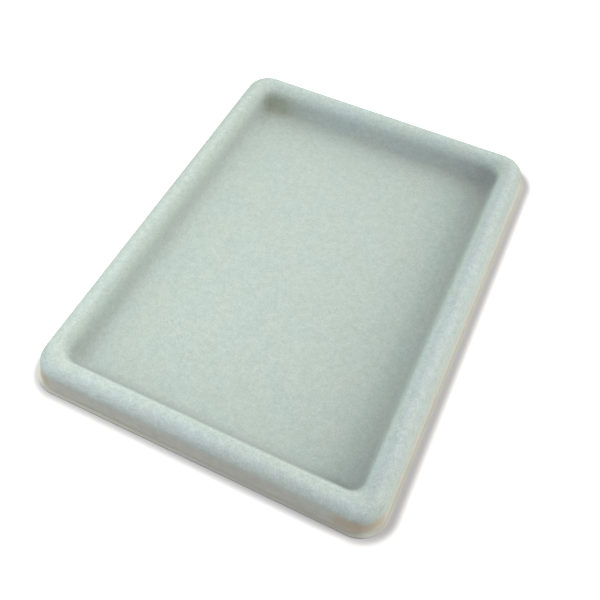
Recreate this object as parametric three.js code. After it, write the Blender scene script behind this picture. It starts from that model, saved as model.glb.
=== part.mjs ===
// A bead board: a shallow work tray with a broad rounded rim, formed in one piece from plastic sheet.
// Its upper side is flocked: an adhesive film holds a short soft pile that keeps beads from rolling.
// Millimetres, +Z up. The origin lies on the table under the middle of the board, with X across the
// board and Y along it.
import * as THREE from "three";

// Overall size
const LENGTH = 320; // along Y, over the lip
const WIDTH = 240; // along X, over the lip
const HEIGHT = 20; // from the table to the top of the rim, over the pile

// Layers
const SHEET = 1.0; // plastic sheet
const FILM = 0.2; // adhesive
const PILE = 0.6; // flock fibres
const BOND_GAP = 0.1; // clearance between one layer and the next

// Cross-section of the rim
const LIP_WIDTH = 2.0; // flat trimmed edge outside the rim
const LIP_BEND = 0.8; // inside radius between the lip and the outer wall
const OUTER_LEAN = THREE.MathUtils.degToRad(14.5); // outer wall, from upright
const INNER_LEAN = THREE.MathUtils.degToRad(22); // inner wall, from upright
const ROLL_RADIUS = 8; // rounded top of the rim, over the pile
const FLOOR_BEND = 6; // inside radius between the inner wall and the floor, over the pile

// Corner radii in plan
const LIP_CORNER = 19; // outer edge of the lip
const FLOOR_CORNER = 7; // foot of the inner wall

// Where the coat ends on the outer wall
const BARE_BAND = 1.0; // height of bare sheet between the lip's bend and the film
const FILM_BAND = 2.4; // height of film left showing below the pile

// Fineness of the curves
const CORNER_STEPS = 8; // in each corner
const ROLL_STEPS = 6; // from the crest of the rim down to each wall
const BEND_STEPS = 5; // in each bend

// Offsets of the layers' faces from the upper face of the sheet
const sheetUnder = -SHEET;
const filmUnder = BOND_GAP;
const filmTop = filmUnder + FILM;
const pileUnder = filmTop + BOND_GAP;
const pileTop = pileUnder + PILE;

// Bend radii and centres of the sheet's upper face. A profile point is (inset from the lip's edge, height).
const rollRadius = ROLL_RADIUS - pileTop;
const floorBend = FLOOR_BEND + pileTop;
const outerSlope = Math.tan(OUTER_LEAN);
const innerSlope = Math.tan(INNER_LEAN);
const outerWallInset = (height) => LIP_WIDTH + (height - SHEET) * outerSlope;

const rollHeight = HEIGHT - ROLL_RADIUS;
const rollInset = outerWallInset(rollHeight) + rollRadius / Math.cos(OUTER_LEAN);
const innerWallInset = (height) => {
  return rollInset + rollRadius / Math.cos(INNER_LEAN) + (rollHeight - height) * innerSlope;
};

const lipBendHeight = SHEET + LIP_BEND;
const lipBendInset = outerWallInset(lipBendHeight) - LIP_BEND / Math.cos(OUTER_LEAN);
const floorBendHeight = SHEET + floorBend;
const floorBendInset = innerWallInset(floorBendHeight) + floorBend / Math.cos(INNER_LEAN);

// Heights at which the film and the pile end on the outer wall
const filmEdge = lipBendHeight - LIP_BEND * Math.sin(OUTER_LEAN) + BARE_BAND;
const pileEdge = filmEdge + FILM_BAND;

// Points of an arc in a profile, from one angle to another
function arc(inset, height, radius, from, to, steps) {
  const points = [];
  for (let step = 0; step <= steps; step += 1) {
    const angle = THREE.MathUtils.lerp(from, to, step / steps);
    points.push(new THREE.Vector2(inset + radius * Math.cos(angle), height + radius * Math.sin(angle)));
  }
  return points;
}

// The bends of a face that lies at an offset from the sheet's upper face, in order from floor to lip
function floorBendArc(offset) {
  const radius = floorBend - offset;
  return arc(floorBendInset, floorBendHeight, radius, 1.5 * Math.PI, Math.PI + INNER_LEAN, BEND_STEPS);
}

function rollArc(offset) {
  const radius = rollRadius + offset;
  const crest = Math.PI / 2;
  const innerHalf = arc(rollInset, rollHeight, radius, INNER_LEAN, crest, ROLL_STEPS);
  const outerHalf = arc(rollInset, rollHeight, radius, crest, Math.PI - OUTER_LEAN, ROLL_STEPS);
  return [...innerHalf, ...outerHalf.slice(1)];
}

function lipBendArc(offset) {
  const radius = LIP_BEND - offset;
  return arc(lipBendInset, lipBendHeight, radius, -OUTER_LEAN, -Math.PI / 2, BEND_STEPS);
}

function outerWallPoint(height, offset) {
  const shift = new THREE.Vector2(-Math.cos(OUTER_LEAN), Math.sin(OUTER_LEAN)).multiplyScalar(offset);
  return new THREE.Vector2(outerWallInset(height), height).add(shift);
}

// Corner radius in plan at an inset, changing evenly from the lip to the foot of the inner wall
function cornerRadius(inset) {
  return THREE.MathUtils.mapLinear(inset, 0, innerWallInset(SHEET), LIP_CORNER, FLOOR_CORNER);
}

// One level of the board: a rectangle with rounded corners, anticlockwise seen from above
function outline(inset, height) {
  const radius = cornerRadius(inset);
  const cornerX = WIDTH / 2 - inset - radius;
  const cornerY = LENGTH / 2 - inset - radius;
  const points = [];
  [[1, 1], [-1, 1], [-1, -1], [1, -1]].forEach(([sideX, sideY], quarter) => {
    for (let step = 0; step <= CORNER_STEPS; step += 1) {
      const angle = (quarter + step / CORNER_STEPS) * (Math.PI / 2);
      const x = sideX * cornerX + radius * Math.cos(angle);
      const y = sideY * cornerY + radius * Math.sin(angle);
      points.push(new THREE.Vector3(x, y, height));
    }
  });
  return points;
}

// A layer of the board: its profile is swept round the outline, and the two ends close over the floor.
// The profile runs from the floor over the rim on the upper face, and back on the under face.
function layerGeometry(upper, under) {
  const profile = [...upper, ...under.toReversed()];
  const rings = profile.map((point) => outline(point.x, point.y));
  const around = rings[0].length;
  const upperMiddle = rings.length * around;
  const underMiddle = upperMiddle + 1;
  const lastRing = (rings.length - 1) * around;
  const indices = [];
  for (let here = 0; here < around; here += 1) {
    const next = (here + 1) % around;
    indices.push(upperMiddle, here, next);
    for (let ring = 0; ring < lastRing; ring += around) {
      const outward = ring + around;
      indices.push(ring + here, outward + here, outward + next);
      indices.push(ring + here, outward + next, ring + next);
    }
    indices.push(underMiddle, lastRing + next, lastRing + here);
  }
  const middles = [upper[0], under[0]].map((point) => new THREE.Vector3(0, 0, point.y));
  const geometry = new THREE.BufferGeometry().setFromPoints([...rings.flat(), ...middles]);
  geometry.setIndex(indices);
  geometry.computeVertexNormals();
  return geometry;
}

// Formed sheet: floor, rim and lip, open underneath where the rim is hollow
function sheetGeometry() {
  const face = (offset) => [
    ...floorBendArc(offset),
    ...rollArc(offset),
    ...lipBendArc(offset),
    new THREE.Vector2(0, SHEET + offset),
  ];
  return layerGeometry(face(0), face(sheetUnder));
}

// Adhesive film: follows the sheet from the floor over the rim, and stops square above the lip
function filmGeometry() {
  const face = (offset) => [
    ...floorBendArc(offset),
    ...rollArc(offset),
    outerWallPoint(filmEdge, offset),
  ];
  return layerGeometry(face(filmTop), face(filmUnder));
}

// Pile: even over the floor and the rim, thinning down the outer wall to a feather edge
function pileGeometry() {
  const upper = [...floorBendArc(pileTop), ...rollArc(pileTop)];
  const under = [...floorBendArc(pileUnder), ...rollArc(pileUnder), outerWallPoint(pileEdge, pileUnder)];
  return layerGeometry(upper, under);
}

function piece(name, geometry, color, roughness) {
  const material = new THREE.MeshStandardMaterial({ color, roughness, metalness: 0 });
  const mesh = new THREE.Mesh(geometry, material);
  mesh.name = name;
  return mesh;
}

const board = new THREE.Group();
board.add(piece("tray_shell", sheetGeometry(), 0xdbdace, 0.5));
board.add(piece("adhesive_film", filmGeometry(), 0xcbc7bd, 0.7));
board.add(piece("flock_pile", pileGeometry(), 0xc5d4cd, 1));

export default board;
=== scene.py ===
"""A flocked bead board on a pale table: its formed sheet, its glue film and its pile, in metres."""
import math

import bpy
import numpy as np
from mathutils import Matrix, Vector, noise


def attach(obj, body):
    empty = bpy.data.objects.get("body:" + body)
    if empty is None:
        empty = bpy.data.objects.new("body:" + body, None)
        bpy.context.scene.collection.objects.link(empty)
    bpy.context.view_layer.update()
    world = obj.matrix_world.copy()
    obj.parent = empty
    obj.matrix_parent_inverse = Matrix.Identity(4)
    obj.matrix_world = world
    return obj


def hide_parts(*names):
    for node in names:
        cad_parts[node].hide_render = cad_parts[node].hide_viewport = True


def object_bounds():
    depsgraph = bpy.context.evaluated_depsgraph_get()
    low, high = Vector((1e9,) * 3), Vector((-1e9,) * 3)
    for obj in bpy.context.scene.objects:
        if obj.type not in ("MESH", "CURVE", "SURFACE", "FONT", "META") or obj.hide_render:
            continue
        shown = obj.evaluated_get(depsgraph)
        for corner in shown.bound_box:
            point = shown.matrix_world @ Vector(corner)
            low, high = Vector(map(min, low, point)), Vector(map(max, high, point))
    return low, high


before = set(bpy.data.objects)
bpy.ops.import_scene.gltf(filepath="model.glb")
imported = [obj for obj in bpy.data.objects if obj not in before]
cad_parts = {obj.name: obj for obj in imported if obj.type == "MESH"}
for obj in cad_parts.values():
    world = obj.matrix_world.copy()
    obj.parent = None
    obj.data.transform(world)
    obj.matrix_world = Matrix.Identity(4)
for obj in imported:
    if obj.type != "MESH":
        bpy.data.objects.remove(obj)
cad_low, cad_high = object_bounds()

MM = 0.001

# Layers of the board, as in the solids
SHEET = 1.0 * MM
FILM = 0.2 * MM
PILE = 0.6 * MM
BOND_GAP = 0.1 * MM

# Cross-section of the rim, as in the solids
LIP_WIDTH = 2.0 * MM
LIP_BEND = 0.8 * MM
OUTER_LEAN = math.radians(14.5)
INNER_LEAN = math.radians(22)
ROLL_RADIUS = 8 * MM
FLOOR_BEND = 6 * MM

# Corner radii in plan, as in the solids
LIP_CORNER = 19 * MM
FLOOR_CORNER = 7 * MM

# Lower edges of the coat on the outer wall, as in the solids
BARE_BAND = 1.0 * MM
FILM_BAND = 2.4 * MM

# Finish of the edges
LIP_EDGE = 0.2 * MM  # rounding of the trimmed lip
FILM_RAGGED = 0.3 * MM  # how far the film's edge strays
PILE_RAGGED = 0.9 * MM  # how far the pile's edge strays
RAGGED_WAVES = (9 * MM, 2.5 * MM)
FILM_SEED = 3
PILE_SEED = 7
EDGE_LIFT = 0.02 * MM  # feather edge of the pile, above the film

# Unevenness of the pile
SWELL_DEPTH = 0.10 * MM
SWELL_WAVE = 70 * MM
TUFT_DEPTH = 0.04 * MM
TUFT_WAVE = 3.2 * MM

# Spacing of the points round the board, and steps in the curves
PILE_SPACING = 2.2 * MM
SHEET_SPACING = 4.0 * MM
CORNER_STEPS = 16
BEND_STEPS = 8
ROLL_STEPS = 12
WALL_STEPS = 8
EDGE_STEPS = 3
CRISP_ANGLE = math.radians(50)  # edges that turn more than this stay crisp

# How sharply one side of the board gives way to the next, and the near side to its corners
SIDE_POWER = 4
NEAR_SLOPE = 1.5

# Stretch of the outer wall on which the pile thins out, and how much higher it starts where hands rest
THIN_FROM = 14 * MM
THIN_TO = 5.5 * MM
NEAR_WEAR = 3.5 * MM

# Tan glue, in the corners and in a line along the film's edge
CORNER_TAN_FROM = -0.15  # where it starts past the straight side, as a share of the lip's corner
CORNER_TAN_SLOPE = 2.2  # how soon it is full
NEAR_TAN_SPREAD = 0.6  # how much further it reaches from the near right corner along the near side
GLUE_LINE = 1.4 * MM  # height of the line
EDGE_TAN = 0.4  # how tan the line is

# Painted shade on the near lip: the inset that it reaches, and the stretch over which it ends
LIP_SHADE_REACH = 2.9 * MM
LIP_SHADE_FADE = 1.6 * MM

# Painted shade in the crease between the lip and the outer wall, all round
CREASE_SHADE = 0.3
CREASE_INSET = 2 * MM
CREASE_REACH = 0.5 * MM

# The pile stands open on the rim, up to an inset, with a fade. The crest is painted lighter: painted
# light
OPEN_UNTIL = 22 * MM
OPEN_FADE = 6 * MM
CREST_PAINTED_LIGHT = 0.06
CREST_INSET = 10 * MM
CREST_REACH = 4 * MM

# Painted shade inside the well, most at the foot of the wall, fading out over the floor
WELL_FROM = 18.6 * MM
WELL_FULL = 21.6 * MM
FOOT_SHADE = 0.05
FOOT_INSET = 24 * MM
FOOT_REACH = 3.6 * MM
FLOOR_SHADE = 0.15
FLOOR_SHADE_REACH = 20 * MM
FLOOR_TILT = 0.018  # the floor is a little darker towards the near right
FAR_SHADE = 0.07  # the floor is darker along the far side, and lighter along the near side
FAR_TILT = 0.05  # that difference is larger towards the right
FAR_SHADE_FROM = 23.5 * MM
FAR_SHADE_FULL = 27 * MM

# Shade towards the corners of the well, with more of it right in the far right one
NEAR_LEFT_SHADE = 0.09
NEAR_RIGHT_SHADE = 0.16
FAR_LEFT_SHADE = 0.13
FAR_RIGHT_SHADE = 0.28
CORNER_SHADE_REACH = 24 * MM
TIGHT_SHADE = 0.1
TIGHT_REACH = 7 * MM

# Painted light and shade on stretches of each side: inset, reach and amount
PAINTED_SIDE_LIGHT = {
    "right": (
        (17.2 * MM, 2.6 * MM, 0.08),
        (24.7 * MM, 2.6 * MM, -0.05),
        (26.5 * MM, 2.5 * MM, -0.03),
        (40 * MM, 8 * MM, 0.04),
        (5 * MM, 2 * MM, 0.03),
    ),
    "left": (
        (17.2 * MM, 2.6 * MM, -0.08),
        (24.7 * MM, 2.6 * MM, 0.05),
    ),
    "far": (
        (15 * MM, 3 * MM, 0.02),
        (23 * MM, 1.2 * MM, 0.03),
        (25 * MM, 1.2 * MM, -0.03),
    ),
    "near": (
        (5.5 * MM, 3 * MM, 0.06),
        (16.5 * MM, 0.8 * MM, 0.09),
        (19.5 * MM, 1.8 * MM, -0.26),
        (26.3 * MM, 2.2 * MM, -0.08),
    ),
}

# Painted shade on the rim's right side at its ends: outside at the far end, on the crest at the near end
END_SHADE = 0.09
END_LENGTH = 70 * MM
FAR_END_INSET = 5 * MM
FAR_END_REACH = 3.5 * MM
FAR_END_FROM = 40 * MM
FAR_END_WIDTH = 2 * LIP_CORNER
NEAR_END_INSET = 13 * MM
NEAR_END_REACH = 4 * MM
NEAR_END_FROM = -80 * MM

# Painted cool light: a cooler tint at an inset on three sides and in the darker corners
COOL_LIGHT_INSETS = {"far": 20 * MM, "right": 13 * MM, "near": 8.5 * MM}
COOL_LIGHT_REACH = 5 * MM
COOL_LIGHT_CORNER_FROM = 0.2  # share of the far right shade from which a corner is cool

# Stain and painted shade in the far left corner of the well: an olive stain, with a wider ring of
# painted shade. Its middle, and the reach and strength of its two rings
STAIN_AND_SHADE_AT = np.array([-87.5 * MM, 135.5 * MM])
STAIN_AND_SHADE_RINGS = (
    (np.array([10 * MM, 5 * MM]), 0.9),
    (np.array([26 * MM, 18 * MM]), 0.4),
)

# Scales of the pattern in the materials
FIBRE_WAVE = 1.2 * MM
CLUMP_WAVE = 3.5 * MM
TINT_WAVE = 28 * MM
FRAY_WAVE = 5 * MM

# Stretches of a pattern's values over which a material changes
WHOLE = (0, 1)
NOISE_SPAN = (0.25, 0.75)
BLOTCH_SPAN = (0.3, 0.7)
TINT_SPAN = (0.35, 0.65)
GRAIN_SPAN = (0.2, 0.8)
SHADE_TINT_SPAN = (0.68, 0.95)
BARE_SPAN = (0.1, 0.9)
STUCK_SPAN = (0.5, 0.75)

# How much of a pattern shows
FIBRE_SHARE = 0.65
CLUMP_SHARE = 0.35
FRAY_SHARE = 0.2
STUCK_SHARE = 0.4
TAN_LEAST = 0.75  # in the blotches where the tan is weakest

# Finish of the materials: roughness at the two ends of the pattern, and strength and depth of the bump
FLOCK_ROUGHNESS = (1.0, 0.85)
FLOCK_BUMP = (0.4, 0.25 * MM)
FLOCK_SPECULAR = 0.1
FLOCK_SHEEN = 0.08
FLOCK_SHEEN_ROUGHNESS = 0.5
FLOCK_SHEEN_TINT = (0.9, 1.0, 0.95)
FILM_ROUGHNESS = (0.6, 0.85)
FILM_BUMP = (0.25, 0.15 * MM)
PLASTIC_ROUGHNESS = (0.4, 0.52)
PLASTIC_BUMP = (0.08, 0.1 * MM)
TABLE_ROUGHNESS = 0.95

# Colours, linear
WHITE = (1, 1, 1)
FLOCK_LIGHT = (0.618, 0.722, 0.671)
FLOCK_DARK = (0.504, 0.602, 0.553)
OPEN_LIGHT = (0.628, 0.732, 0.683)  # on the rim, where the pile stands open
OPEN_DARK = (0.488, 0.584, 0.537)
WORN_LIGHT = (0.663, 0.69, 0.625)
WORN_DARK = (0.588, 0.603, 0.545)
TAN_LIGHT = (0.63, 0.555, 0.43)
TAN_DARK = (0.56, 0.48, 0.36)
PLASTIC_LIGHT = (0.745, 0.765, 0.675)
PLASTIC_DARK = (0.695, 0.715, 0.62)
TABLE_COLOUR = (0.72, 0.72, 0.722)

# Tints that a colour is multiplied by
COOL_PATCH = (0.988, 1.0, 1.012)
WARM_PATCH = (1.012, 1.0, 0.988)
# Tint of the painted shade: less green where the painted shade is deep
SHADE_TINT = (1.0, 0.965, 0.99)
# Tint of the painted cool light
COOL_LIGHT_TINT = (1.0, 0.995, 1.05)
# Tint of the stain and its painted shade
STAIN_AND_SHADE_TINT = (0.83, 0.8, 0.7)
# Tint of the painted shade on the near lip and in the crease
LIP_SHADE_TINT = (0.6, 0.59, 0.61)

# Table: how far it reaches out from the board, how far it tucks in under the lip, and its clearance
TABLE_REACH = 4.0
TABLE_TUCK = 1.0 * MM
TABLE_GAP = 0.05 * MM

# Glow that lifts the table to white a little way off the board. The dim band left next to the board is a
# painted shadow round it, and lies slightly off centre.
GLOW_AT_BOARD = 0.0
GLOW_AWAY = 1.0
GLOW_FROM = 0.5 * MM
GLOW_REACH = 10.5 * MM
GLOW_SHIFT = (1.4 * MM, 0.7 * MM, 0)

# Camera, fitted to the board's edges in the photograph
CAMERA_AT = Vector((116.5, -279.6, 408.2)) * MM
CAMERA_LOOKS_AT = Vector((9.3, -26.8, 0)) * MM
CAMERA_ROLL = math.radians(2.82)
CAMERA_CLIP = 10 * MM
FOCAL_PIXELS = 714.1
IMAGE_PIXELS = 600
SENSOR_WIDTH = 36.0

# Lamps: direction and height in degrees, distance and size in metres, level on the floor of the board
LAMPS = {
    "left_front": dict(
        azimuth=202, elevation=57, distance=0.6, size=0.35, level=0.395, colour=(0.995, 1.005, 0.97)
    ),
    "right_back": dict(
        azimuth=24, elevation=23, distance=2.0, size=1.0, level=0.2, colour=(1, 0.95, 0.875)
    ),
    "back": dict(
        azimuth=95, elevation=28, distance=0.7, size=0.4, level=0.047, colour=(0.96, 1.02, 1)
    ),
}
ROOM_LEVEL = 0.4
ROOM_COLOUR = (0.975, 0.955, 1.0)

half_x = cad_high.x
half_y = cad_high.y
half_size = np.array([half_x, half_y])
height = cad_high.z

# Offsets of the layers' faces from the upper face of the sheet
film_under = BOND_GAP
film_top = film_under + FILM
pile_under = film_top + BOND_GAP
pile_top = pile_under + PILE

# Bend radii of the sheet's upper face
roll_radius = ROLL_RADIUS - pile_top
floor_bend = FLOOR_BEND + pile_top


# Cross-section of the sheet's upper face. A profile point is (inset from the lip's edge, height).
def outer_wall_inset(z):
    return LIP_WIDTH + (z - SHEET) * math.tan(OUTER_LEAN)


roll_z = height - ROLL_RADIUS
roll_inset = outer_wall_inset(roll_z) + roll_radius / math.cos(OUTER_LEAN)


def inner_wall_inset(z):
    return roll_inset + roll_radius / math.cos(INNER_LEAN) + (roll_z - z) * math.tan(INNER_LEAN)


lip_bend_z = SHEET + LIP_BEND
lip_bend_inset = outer_wall_inset(lip_bend_z) - LIP_BEND / math.cos(OUTER_LEAN)
floor_bend_z = SHEET + floor_bend
floor_bend_inset = inner_wall_inset(floor_bend_z) + floor_bend / math.cos(INNER_LEAN)
film_edge_z = lip_bend_z - LIP_BEND * math.sin(OUTER_LEAN) + BARE_BAND
pile_edge_z = film_edge_z + FILM_BAND

# How much the corner radius shrinks for each unit of inset
corner_shrink = (LIP_CORNER - FLOOR_CORNER) / inner_wall_inset(SHEET)


def arc(inset, z, radius, start, end, steps):
    angles = np.linspace(start, end, steps + 1)
    return np.column_stack([inset + radius * np.cos(angles), z + radius * np.sin(angles)])


def floor_bend_arc(offset):
    radius = floor_bend - offset
    return arc(floor_bend_inset, floor_bend_z, radius, 1.5 * math.pi, math.pi + INNER_LEAN, BEND_STEPS)


def roll_arc(offset):
    radius = roll_radius + offset
    return arc(roll_inset, roll_z, radius, INNER_LEAN, math.pi - OUTER_LEAN, 2 * ROLL_STEPS)


def lip_bend_arc(offset):
    return arc(lip_bend_inset, lip_bend_z, LIP_BEND - offset, -OUTER_LEAN, -math.pi / 2, BEND_STEPS)


def outer_wall_point(z, offset):
    return outer_wall_inset(z) - offset * math.cos(OUTER_LEAN), z + offset * math.sin(OUTER_LEAN)


def blend(first, last, share):
    return first + (last - first) * share


def between(first, last, steps):
    """Points inside a straight stretch, without its two ends."""
    shares = np.linspace(0, 1, steps + 1)[1:-1, None]
    return blend(first, last, shares)


def rim_face(offset):
    """Profile of one face from the floor over the inner wall and the roll."""
    bend = floor_bend_arc(offset)
    roll = roll_arc(offset)
    return np.vstack([bend, between(bend[-1], roll[0], WALL_STEPS), roll])


def sheet_face(offset):
    """Profile of one face of the sheet from the floor to the lip."""
    rim = rim_face(offset)
    lip = lip_bend_arc(offset)
    return np.vstack([rim, between(rim[-1], lip[0], WALL_STEPS), lip])


class Track:
    """The way round the board: four sides, each from one corner's middle to the next one's."""

    def __init__(self, spacing):
        counts = [round(2 * half / spacing) for half in (half_y, half_x)] * 2
        turn = np.linspace(0, math.pi / 4, CORNER_STEPS // 2 + 1)
        rows = []
        for quarter, count in enumerate(counts):
            corner = quarter * math.pi / 2
            before = corner - math.pi / 4 + turn
            after = corner + turn
            along = np.linspace(-1, 1, count + 1)[1:-1]
            slide = np.concatenate([np.full(len(before), -1.0), along, np.full(len(after), 1.0)])
            angle = np.concatenate([before, np.full(len(along), corner), after])
            out = np.array([math.cos(corner), math.sin(corner)])
            tangent = np.array([-out[1], out[0]])
            sign = out + slide[:, None] * tangent
            rows.append(np.column_stack([sign, np.cos(angle), np.sin(angle)])[:-1])
        self.sides = [len(row) for row in rows]
        self.sign_x, self.sign_y, self.cos, self.sin = np.vstack(rows).T
        self.count = len(self.cos)

    def ring(self, inset, z):
        """One level of the board. Inset and height may differ from point to point."""
        radius = LIP_CORNER - corner_shrink * inset
        x = self.sign_x * (half_x - inset - radius) + radius * self.cos
        y = self.sign_y * (half_y - inset - radius) + radius * self.sin
        return np.column_stack([x, y, np.broadcast_to(z, x.shape)])

    def rings(self, profile):
        return [self.ring(inset, z) for inset, z in profile]

    def ragged(self, strays, seed):
        """An uneven value for each point round the board, the same in every run."""
        places = self.ring(0.0, 0.0)
        total = np.zeros(self.count)
        for wave in RAGGED_WAVES:
            for index, place in enumerate(places):
                total[index] += noise.noise(Vector(place) / wave + Vector((0, 0, seed)))
        return strays * total


def floor_grid(track, ring):
    """Inner points of an even grid that fills a ring, and the grid's table of point numbers."""
    right, top, left, bottom = np.split(np.arange(track.count), np.cumsum(track.sides)[:-1])
    right_edge = np.append(right, top[0])
    top_edge = np.append(top, left[0])[::-1]
    left_edge = np.append(left, bottom[0])[::-1]
    bottom_edge = np.append(bottom, right[0])
    rows, columns = len(right_edge), len(top_edge)
    up = np.linspace(0, 1, rows)[:, None, None]
    across = np.linspace(0, 1, columns)[None, :, None]
    edges = (1 - up) * ring[bottom_edge][None] + up * ring[top_edge][None]
    edges = edges + (1 - across) * ring[left_edge][:, None] + across * ring[right_edge][:, None]
    low = (1 - across) * ring[bottom_edge[0]] + across * ring[bottom_edge[-1]]
    high = (1 - across) * ring[top_edge[0]] + across * ring[top_edge[-1]]
    points = edges - (1 - up) * low - up * high
    numbers = np.full((rows, columns), -1)
    numbers[:, 0], numbers[:, -1] = left_edge, right_edge
    numbers[0], numbers[-1] = bottom_edge, top_edge
    return points[1:-1, 1:-1].reshape(-1, 3), numbers


def layer_mesh(name, track, upper, under):
    """A closed layer of rings: out over the upper face to the edge, and back along the under face."""
    rings = list(upper) + list(under)[::-1]
    count = track.count
    points = np.vstack(rings)
    here = np.arange(count)
    after = np.roll(here, -1)
    faces = []
    for level in range(len(rings) - 1):
        first = level * count
        second = first + count
        faces.append(np.column_stack([first + here, second + here, second + after, first + after]))
    for start, ring, flip in ((0, rings[0], False), (count * (len(rings) - 1), rings[-1], True)):
        inner, numbers = floor_grid(track, ring)
        numbers = np.where(numbers >= 0, numbers + start, -1)
        numbers[1:-1, 1:-1] = len(points) + np.arange(len(inner)).reshape(numbers[1:-1, 1:-1].shape)
        points = np.vstack([points, inner])
        corners = [numbers[:-1, :-1], numbers[:-1, 1:], numbers[1:, 1:], numbers[1:, :-1]]
        cells = np.column_stack([corner.ravel() for corner in corners])
        faces.append(cells[:, ::-1] if flip else cells)
    mesh = bpy.data.meshes.new(name)
    mesh.from_pydata(points.tolist(), [], np.vstack(faces).tolist())
    mesh.shade_smooth()
    mesh.set_sharp_from_angle(angle=CRISP_ANGLE)
    mesh.update()
    return mesh


def points_of(mesh):
    points = np.empty((len(mesh.vertices), 3))
    mesh.vertices.foreach_get("co", points.ravel())
    return points


def set_values(mesh, **values):
    """Keep a number for each point of a mesh, for its material."""
    for name, numbers in values.items():
        layer = mesh.attributes.new(name, "FLOAT", "POINT")
        layer.data.foreach_set("value", numbers.astype(np.float32))


def smooth_step(values):
    values = np.clip(values, 0, 1)
    return values * values * (3 - 2 * values)


def hump(values, middle, reach):
    return np.exp(-((values - middle) / reach) ** 2)


def inset_of(points):
    """Inset of each point from the edge of the lip: that of the ring on which it lies."""
    reach = np.abs(points[:, :2]) - (half_size - LIP_CORNER)
    straight = LIP_CORNER - reach.max(axis=1)
    drift = 1 - corner_shrink
    # In a corner, the inset of the arc through the point solves a quadratic equation
    square = 2 * drift ** 2 - corner_shrink ** 2
    half_linear = drift * reach.sum(axis=1) + corner_shrink * LIP_CORNER
    constant = (reach ** 2).sum(axis=1) - LIP_CORNER ** 2
    rounded = (np.sqrt(np.maximum(half_linear ** 2 - square * constant, 0)) - half_linear) / square
    return np.where(reach.min(axis=1) + drift * straight > 0, rounded, straight)


def sides_of(points):
    """Share of each side in each point, passing smoothly from one side to the next in the corners."""
    off = (half_size - np.abs(points[:, :2])) ** SIDE_POWER
    x, y = (np.sign(points[:, :2]) * off[:, ::-1] / off.sum(axis=1, keepdims=True)).T
    shares = {"right": x, "left": -x, "far": y, "near": -y}
    return {name: np.maximum(share, 0) for name, share in shares.items()}


def into_corner(points):
    """How far past the straight sides each point lies, along X and Y, as a share of the lip's corner."""
    return (np.abs(points[:, :2]) - (half_size - LIP_CORNER)) / LIP_CORNER


def near_of(points):
    """Share of the near side up to its corners, where hands wear the pile most and the lip is given
    painted shade.
    """
    into = into_corner(points)
    return smooth_step(NEAR_SLOPE * (into[:, 1] - into[:, 0])) * (points[:, 1] < 0)


def in_well(points):
    """How far inside the well each point lies: not at all on the crest, fully from the mid wall on."""
    return smooth_step((inset_of(points) - WELL_FROM) / (WELL_FULL - WELL_FROM))


def open_of(points):
    """How openly the pile stands: fully on the crest, not at all from the lower inner wall inwards."""
    return smooth_step((OPEN_UNTIL - inset_of(points)) / OPEN_FADE)


def thin_of(points):
    """How thin the pile is: not at all on the rim, fully at the lower end of the outer wall."""
    start = THIN_FROM + NEAR_WEAR * near_of(points)
    thin = smooth_step((start - points[:, 2]) / (THIN_FROM - THIN_TO))
    return thin * (inset_of(points) < roll_inset)


def tan_of(points):
    """Share of tan glue on the outer wall: most in the middle of a corner and along the film's edge."""
    into = into_corner(points)
    into[:, 0] += NEAR_TAN_SPREAD * (points[:, 1] < 0) * (points[:, 0] > 0)
    corner = smooth_step(CORNER_TAN_SLOPE * (into.min(axis=1) - CORNER_TAN_FROM))
    edge = EDGE_TAN * smooth_step((film_edge_z + GLUE_LINE - points[:, 2]) / GLUE_LINE)
    return np.maximum(corner, edge)


def soil_of(points):
    """How much painted shade the sheet has: on the near lip, and in the crease between the lip and the
    outer wall.
    """
    inset = inset_of(points)
    on_lip = near_of(points) * smooth_step((LIP_SHADE_REACH - inset) / LIP_SHADE_FADE)
    in_crease = CREASE_SHADE * hump(inset, CREASE_INSET, CREASE_REACH)
    return np.maximum(on_lip, in_crease)


def stain_of(points):
    """How much stain and painted shade the pile has in the far left corner, inside the well alone."""
    off = points[:, :2] - STAIN_AND_SHADE_AT
    total = np.zeros(len(points))
    for reach, strength in STAIN_AND_SHADE_RINGS:
        total += strength * hump(np.linalg.norm(off / reach, axis=1), 0, 1)
    return total * (1 - open_of(points))


def painted_side_light_of(points):
    """How much lighter or darker each side of the pile is painted: painted light and shade."""
    inset = inset_of(points)
    sides = sides_of(points)
    total = np.zeros(len(points))
    for name, stretches in PAINTED_SIDE_LIGHT.items():
        for middle, reach, amount in stretches:
            total += amount * sides[name] * hump(inset, middle, reach)
    return total


def end_shade_of(points):
    """Painted shade: how much dimmer the right side of the rim is made towards its two ends."""
    inset = inset_of(points)
    x, y = points[:, 0], points[:, 1]
    far_end = hump(inset, FAR_END_INSET, FAR_END_REACH)
    far_end *= smooth_step((y - FAR_END_FROM) / END_LENGTH)
    far_end *= smooth_step((x - half_x + FAR_END_WIDTH) / LIP_CORNER)
    near_end = hump(inset, NEAR_END_INSET, NEAR_END_REACH)
    near_end *= smooth_step((NEAR_END_FROM - y) / END_LENGTH)
    near_end *= sides_of(points)["right"]
    return END_SHADE * (far_end + near_end)


def corner_shade_of(points):
    """How much darker the pile looks towards the corners of the well, most of all the far right one."""
    off_corner = np.maximum(half_size - FOOT_INSET - np.abs(points[:, :2]), 0)
    off_corner = np.linalg.norm(off_corner, axis=1)
    right, far = ((points[:, :2] / half_size + 1) / 2).T
    near_shade = blend(NEAR_LEFT_SHADE, NEAR_RIGHT_SHADE, right)
    far_shade = blend(FAR_LEFT_SHADE, FAR_RIGHT_SHADE, right)
    broad = blend(near_shade, far_shade, far) * np.exp(-off_corner / CORNER_SHADE_REACH)
    return broad + TIGHT_SHADE * right * far * np.exp(-off_corner / TIGHT_REACH)


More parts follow.
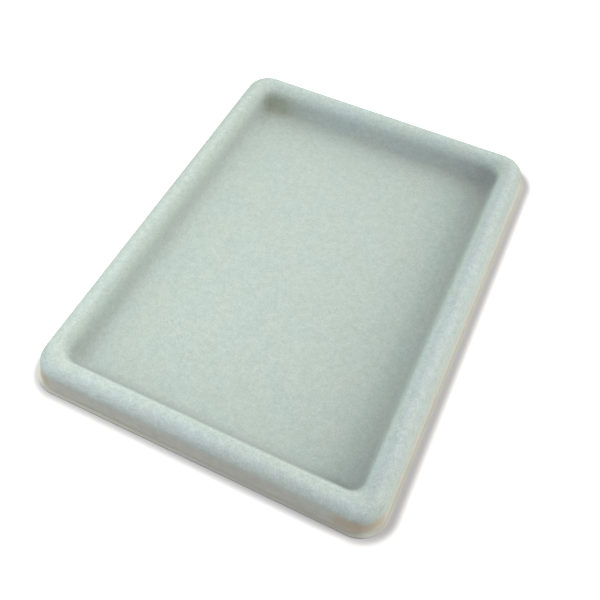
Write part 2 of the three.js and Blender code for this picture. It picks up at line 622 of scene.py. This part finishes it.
def shade_of(points):
    """Painted light and shade of the pile: darkest at the foot of the wall and in the corners of the
    well.
    """
    inset = inset_of(points)
    inside = in_well(points)
    sides = sides_of(points)
    right, far = (points[:, :2] / half_size).T
    crest = CREST_PAINTED_LIGHT * hump(inset, CREST_INSET, CREST_REACH)
    foot = FOOT_SHADE * hump(inset, FOOT_INSET, FOOT_REACH)
    far_more = FAR_SHADE + FAR_TILT * right
    far_more *= smooth_step((inset - FAR_SHADE_FROM) / (FAR_SHADE_FULL - FAR_SHADE_FROM))
    floor = FLOOR_SHADE + far_more * (sides["far"] - sides["near"])
    floor *= np.exp(-np.maximum(inset - FOOT_INSET, 0) / FLOOR_SHADE_REACH)
    floor += FLOOR_TILT * np.maximum(right - far, 0)
    rim = 1 + crest + painted_side_light_of(points) - end_shade_of(points)
    return (rim - foot - floor * inside) * (1 - corner_shade_of(points) * inside)


def cool_of(points):
    """Share of the painted cool light: on stretches of three sides, and in the darker corners of the
    well.
    """
    inset = inset_of(points)
    sides = sides_of(points)
    stretches = [sides[name] * hump(inset, middle, COOL_LIGHT_REACH) for name, middle in COOL_LIGHT_INSETS.items()]
    corner = smooth_step(corner_shade_of(points) / FAR_RIGHT_SHADE - COOL_LIGHT_CORNER_FROM)
    return np.maximum.reduce([*stretches, corner * in_well(points)])


def sheet_mesh():
    """Formed sheet with a softly rounded trimmed edge, hollow under the rim."""
    track = Track(SHEET_SPACING)
    top_edge = arc(LIP_EDGE, SHEET - LIP_EDGE, LIP_EDGE, math.pi / 2, math.pi, EDGE_STEPS)
    low_edge = arc(LIP_EDGE, LIP_EDGE, LIP_EDGE, math.pi, 1.5 * math.pi, EDGE_STEPS)
    upper = np.vstack([sheet_face(0), top_edge])
    under = np.vstack([sheet_face(-SHEET), low_edge[::-1]])
    mesh = layer_mesh("formed_sheet", track, track.rings(upper), track.rings(under))
    set_values(mesh, soil=soil_of(points_of(mesh)))
    return mesh


def coat_rings(track, offset, edge_offset, edge_z):
    """Rings of a coat's face, from the floor over the rim to its uneven edge on the outer wall."""
    rings = track.rings(rim_face(offset))
    edge = track.ring(*outer_wall_point(edge_z, edge_offset))
    shares = np.linspace(0, 1, WALL_STEPS + 1)[1:]
    return rings + [blend(rings[-1], edge, share) for share in shares]


def film_mesh():
    """Glue film over the sheet, with a slightly uneven edge above the lip."""
    track = Track(SHEET_SPACING)
    edge_z = film_edge_z + track.ragged(FILM_RAGGED, FILM_SEED)
    upper = coat_rings(track, film_top, film_top, edge_z)
    under = coat_rings(track, film_under, film_under, edge_z)
    mesh = layer_mesh("glue_film", track, upper, under)
    set_values(mesh, tan=tan_of(points_of(mesh)))
    return mesh


def nap_of(points, normals):
    """How far each point stands out from an even coat: on the upper face, and on both past the crest."""
    nap = np.zeros(len(points))
    on_top = (normals[:, 2] > 0) | (inset_of(points) < roll_inset)
    for index in np.flatnonzero(on_top):
        place = Vector(points[index])
        nap[index] = SWELL_DEPTH * noise.noise(place / SWELL_WAVE)
        nap[index] += TUFT_DEPTH * noise.noise(place / TUFT_WAVE)
    return nap


def pile_mesh():
    """Pile with an uneven nap and a frayed feather edge."""
    track = Track(PILE_SPACING)
    edge_z = pile_edge_z + track.ragged(PILE_RAGGED, PILE_SEED)
    edge_offset = film_top + EDGE_LIFT
    upper = coat_rings(track, pile_top, edge_offset, edge_z)
    under = coat_rings(track, pile_under, edge_offset, edge_z)
    mesh = layer_mesh("flock", track, upper, under[:-1])

    points = points_of(mesh)
    thin = thin_of(points)
    set_values(
        mesh,
        shade=shade_of(points),
        cool=cool_of(points),
        stain=stain_of(points),
        open=open_of(points),
        thin=thin,
        tan=tan_of(points),
    )
    normals = np.empty_like(points)
    mesh.vertices.foreach_get("normal", normals.ravel())
    points += normals * (nap_of(points, normals) * (1 - thin))[:, None]
    mesh.vertices.foreach_set("co", points.ravel())
    mesh.update()
    return mesh


class Shading:
    """The node tree of one material, with a short call for each kind of node."""

    def __init__(self, name):
        self.material = bpy.data.materials.new(name)
        self.material.use_nodes = True
        self.tree = self.material.node_tree
        self.shader = self.tree.nodes["Principled BSDF"]
        self.place = self.tree.nodes.new("ShaderNodeTexCoord").outputs["Object"]

    def add(self, kind, inputs, **settings):
        node = self.tree.nodes.new(kind)
        for key, value in settings.items():
            setattr(node, key, value)
        for key, value in inputs.items():
            self.feed(node.inputs[key], value)
        return node

    def feed(self, socket, value):
        if isinstance(value, bpy.types.NodeSocket):
            self.tree.links.new(value, socket)
        else:
            socket.default_value = value

    def finish(self, **inputs):
        """Set the shader's inputs, named with underscores for spaces."""
        for key, value in inputs.items():
            self.feed(self.shader.inputs[key.replace("_", " ")], value)
        return self.material

    def clear_from_below(self):
        """Let pictures from below see through the back of the surface."""
        behind = self.add("ShaderNodeNewGeometry", {}).outputs["Backfacing"]
        clear = self.add("ShaderNodeBsdfTransparent", {}).outputs["BSDF"]
        both = self.add("ShaderNodeMixShader", {0: behind, 1: self.shader.outputs["BSDF"], 2: clear})
        self.feed(self.tree.nodes["Material Output"].inputs["Surface"], both.outputs["Shader"])

    def noise(self, wave, detail):
        inputs = {"Vector": self.place, "Scale": 1 / wave, "Detail": detail}
        return self.add("ShaderNodeTexNoise", inputs).outputs[0]

    def value(self, name):
        """A number that the mesh keeps for each of its points."""
        return self.add("ShaderNodeAttribute", {}, attribute_name=name).outputs["Fac"]

    def span(self, value, source, target, kind="LINEAR"):
        """Take a value from one stretch, given by its two ends, to another, and no further."""
        names = ("From Min", "From Max", "To Min", "To Max")
        inputs = {"Value": value, **dict(zip(names, (*source, *target)))}
        return self.add("ShaderNodeMapRange", inputs, interpolation_type=kind).outputs["Result"]

    def ramp(self, factor, first, last, span=WHOLE):
        """A colour that runs from first to last over a stretch of the factor."""
        node = self.add("ShaderNodeValToRGB", {"Fac": factor})
        for element, place, colour in zip(node.color_ramp.elements, span, (first, last)):
            element.position = place
            element.color = (*colour, 1)
        return node.outputs["Color"]

    def mix(self, factor, first, last, blend_type="MIX"):
        node = self.add("ShaderNodeMix", {}, data_type="RGBA", blend_type=blend_type)
        colours = [socket for socket in node.inputs if socket.type == "RGBA"]
        self.feed(node.inputs["Factor"], factor)
        self.feed(colours[0], first)
        self.feed(colours[1], last)
        return next(socket for socket in node.outputs if socket.type == "RGBA")

    def multiply(self, first, last):
        return self.mix(1, first, last, "MULTIPLY")

    def sum(self, first, last):
        node = self.add("ShaderNodeMath", {0: first, 1: last}, operation="ADD")
        return node.outputs["Value"]

    def vector(self, operation, *inputs):
        node = self.add("ShaderNodeVectorMath", dict(enumerate(inputs)), operation=operation)
        return node.outputs["Vector"]

    def length(self, vector):
        node = self.add("ShaderNodeVectorMath", {0: vector}, operation="LENGTH")
        return node.outputs["Value"]

    def bump(self, pattern, strength, depth):
        inputs = {"Height": pattern, "Strength": strength, "Distance": depth}
        return self.add("ShaderNodeBump", inputs).outputs["Normal"]


def bare_colour(shading):
    """Glue with thin pile on it: grey-beige along the sides, tan at the corners, in soft blotches."""
    blotch = shading.noise(FRAY_WAVE, detail=4)
    worn = shading.ramp(blotch, WORN_DARK, WORN_LIGHT, BLOTCH_SPAN)
    tan = shading.ramp(blotch, TAN_DARK, TAN_LIGHT, BLOTCH_SPAN)
    most = shading.span(blotch, BLOTCH_SPAN, (TAN_LEAST, 1))
    return shading.mix(shading.span(shading.value("tan"), WHOLE, (0, most)), worn, tan)


def flock_material():
    """Short matt pile: fibre grain, faint clumps and tints, worn thin on the outer wall, with painted
    light and shade.
    """
    shading = Shading("flock")
    fibres = shading.span(shading.noise(FIBRE_WAVE, detail=4), NOISE_SPAN, (0, FIBRE_SHARE))
    clumps = shading.span(shading.noise(CLUMP_WAVE, detail=2), NOISE_SPAN, (0, CLUMP_SHARE))
    grain = shading.sum(fibres, clumps)
    crowded = shading.ramp(grain, FLOCK_DARK, FLOCK_LIGHT, GRAIN_SPAN)
    standing_open = shading.ramp(grain, OPEN_DARK, OPEN_LIGHT, GRAIN_SPAN)
    colour = shading.mix(shading.value("open"), crowded, standing_open)
    # Painted light and shade from the mesh, the tint of the painted shade, painted cool light, and the
    # stain with its painted shade
    shade = shading.value("shade")
    for tint in (
        shading.ramp(shading.noise(TINT_WAVE, detail=3), COOL_PATCH, WARM_PATCH, TINT_SPAN),
        shade,
        shading.ramp(shade, SHADE_TINT, WHITE, SHADE_TINT_SPAN),
        shading.ramp(shading.value("cool"), WHITE, COOL_LIGHT_TINT),
        shading.ramp(shading.value("stain"), WHITE, STAIN_AND_SHADE_TINT),
    ):
        colour = shading.multiply(colour, tint)
    fray = shading.span(shading.noise(FRAY_WAVE, detail=4), NOISE_SPAN, (-FRAY_SHARE, FRAY_SHARE))
    bare = shading.span(shading.sum(shading.value("thin"), fray), BARE_SPAN, WHOLE)
    return shading.finish(
        Base_Color=shading.mix(bare, colour, bare_colour(shading)),
        Roughness=shading.span(grain, WHOLE, FLOCK_ROUGHNESS),
        Normal=shading.bump(grain, *FLOCK_BUMP),
        Specular_IOR_Level=FLOCK_SPECULAR,
        Sheen_Weight=FLOCK_SHEEN,
        Sheen_Roughness=FLOCK_SHEEN_ROUGHNESS,
        Sheen_Tint=(*FLOCK_SHEEN_TINT, 1),
    )


def film_material():
    """Dull glue with a few fibres stuck in it."""
    shading = Shading("glue")
    fibres = shading.noise(FIBRE_WAVE, detail=2)
    stuck = shading.span(fibres, STUCK_SPAN, (0, STUCK_SHARE))
    return shading.finish(
        Base_Color=shading.mix(stuck, bare_colour(shading), (*FLOCK_LIGHT, 1)),
        Roughness=shading.span(fibres, BLOTCH_SPAN, FILM_ROUGHNESS),
        Normal=shading.bump(fibres, *FILM_BUMP),
    )


def plastic_material():
    """Cream sheet, satin, with faint cloudiness, a fine orange peel, and painted shade on the near lip
    and in the crease.
    """
    shading = Shading("plastic")
    cloud = shading.noise(TINT_WAVE, detail=4)
    peel = shading.noise(FIBRE_WAVE, detail=1)
    colour = shading.ramp(cloud, PLASTIC_DARK, PLASTIC_LIGHT, BLOTCH_SPAN)
    return shading.finish(
        Base_Color=shading.mix(shading.value("soil"), colour, (*LIP_SHADE_TINT, 1), "MULTIPLY"),
        Roughness=shading.span(cloud, BLOTCH_SPAN, PLASTIC_ROUGHNESS),
        Normal=shading.bump(peel, *PLASTIC_BUMP),
    )


def table_material():
    """Pale matt table, white a little way off the board, with a painted shadow as a dim band round the
    board. Its glow only shows, and lights nothing.
    """
    shading = Shading("table")
    path = shading.add("ShaderNodeLightPath", {}).outputs
    seen = shading.sum(path["Is Camera Ray"], path["Is Glossy Ray"])
    seen = shading.sum(seen, path["Is Transmission Ray"])
    corner_middle = (half_x - LIP_CORNER, half_y - LIP_CORNER, 0)
    place = shading.vector("SUBTRACT", shading.place, GLOW_SHIFT)
    away = shading.vector("SUBTRACT", shading.vector("ABSOLUTE", place), corner_middle)
    distance = shading.length(shading.vector("MAXIMUM", away, (0, 0, 0)))
    stretch = (LIP_CORNER + GLOW_FROM, LIP_CORNER + GLOW_REACH)
    glow = shading.span(distance, stretch, (GLOW_AT_BOARD, GLOW_AWAY), "SMOOTHSTEP")
    shading.clear_from_below()
    return shading.finish(
        Base_Color=(*TABLE_COLOUR, 1),
        Roughness=TABLE_ROUGHNESS,
        Specular_IOR_Level=0.0,
        Emission_Color=(*WHITE, 1),
        Emission_Strength=shading.span(seen, WHOLE, (0, glow)),
    )


def add_piece(mesh, node, material):
    """A piece that stands for one of the solids and rides on the board."""
    piece = bpy.data.objects.new(mesh.name, mesh)
    bpy.context.scene.collection.objects.link(piece)
    mesh.materials.append(material)
    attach(piece, "root")
    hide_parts(node)


def add_table():
    """Wide table, left open under the board so that light reaches the underside."""
    track = Track(SHEET_SPACING)
    rings = [track.ring(TABLE_TUCK, -TABLE_GAP), track.ring(-TABLE_REACH, -TABLE_GAP)]
    here = np.arange(track.count)
    after = np.roll(here, -1)
    faces = np.column_stack([here, here + track.count, after + track.count, after])
    mesh = bpy.data.meshes.new("table")
    mesh.from_pydata(np.vstack(rings).tolist(), [], faces.tolist())
    mesh.materials.append(table_material())
    table = bpy.data.objects.new("table", mesh)
    bpy.context.scene.collection.objects.link(table)


def add_camera():
    camera = bpy.data.objects.new("camera", bpy.data.cameras.new("camera"))
    camera.data.sensor_width = SENSOR_WIDTH
    camera.data.lens = FOCAL_PIXELS / IMAGE_PIXELS * SENSOR_WIDTH
    camera.data.clip_start = CAMERA_CLIP
    look = (CAMERA_LOOKS_AT - CAMERA_AT).to_track_quat("-Z", "Y").to_matrix()
    roll = Matrix.Rotation(CAMERA_ROLL, 3, "Z")
    camera.matrix_world = Matrix.Translation(CAMERA_AT) @ (look @ roll).to_4x4()
    bpy.context.scene.collection.objects.link(camera)
    bpy.context.scene.camera = camera


def add_lamp(name, azimuth, elevation, distance, size, level, colour):
    """A round soft lamp aimed at the board. At level 1 a colour on the floor shows as it is written."""
    turn, rise = math.radians(azimuth), math.radians(elevation)
    away = Vector((math.cos(rise) * math.cos(turn), math.cos(rise) * math.sin(turn), math.sin(rise)))
    data = bpy.data.lights.new(name, "AREA")
    data.shape = "DISK"
    data.size = size
    data.color = colour
    data.energy = level * (math.pi * distance) ** 2 / math.sin(rise)
    lamp = bpy.data.objects.new(name, data)
    lamp.location = away * distance
    lamp.rotation_euler = away.to_track_quat("Z", "Y").to_euler()
    bpy.context.scene.collection.objects.link(lamp)


def add_room():
    """Even light from all round, and a white surround in the picture and in reflections."""
    world = bpy.data.worlds.new("room")
    bpy.context.scene.world = world
    world.use_nodes = True
    tree = world.node_tree
    light = tree.nodes["Background"]
    light.inputs["Color"].default_value = (*ROOM_COLOUR, 1)
    light.inputs["Strength"].default_value = ROOM_LEVEL
    white = tree.nodes.new("ShaderNodeBackground")
    white.inputs["Color"].default_value = (*WHITE, 1)
    white.inputs["Strength"].default_value = 1
    path = tree.nodes.new("ShaderNodeLightPath").outputs
    surround = light.outputs["Background"]
    for kind in ("Is Camera Ray", "Is Glossy Ray", "Is Transmission Ray"):
        choice = tree.nodes.new("ShaderNodeMixShader")
        tree.links.new(path[kind], choice.inputs[0])
        tree.links.new(surround, choice.inputs[1])
        tree.links.new(white.outputs["Background"], choice.inputs[2])
        surround = choice.outputs["Shader"]
    tree.links.new(surround, tree.nodes["World Output"].inputs["Surface"])


add_piece(sheet_mesh(), "tray_shell", plastic_material())
add_piece(film_mesh(), "adhesive_film", film_material())
add_piece(pile_mesh(), "flock_pile", flock_material())
add_table()
add_camera()
for name, values in LAMPS.items():
    add_lamp(name, **values)
add_room()

bpy.context.scene.view_settings.view_transform = "Standard"
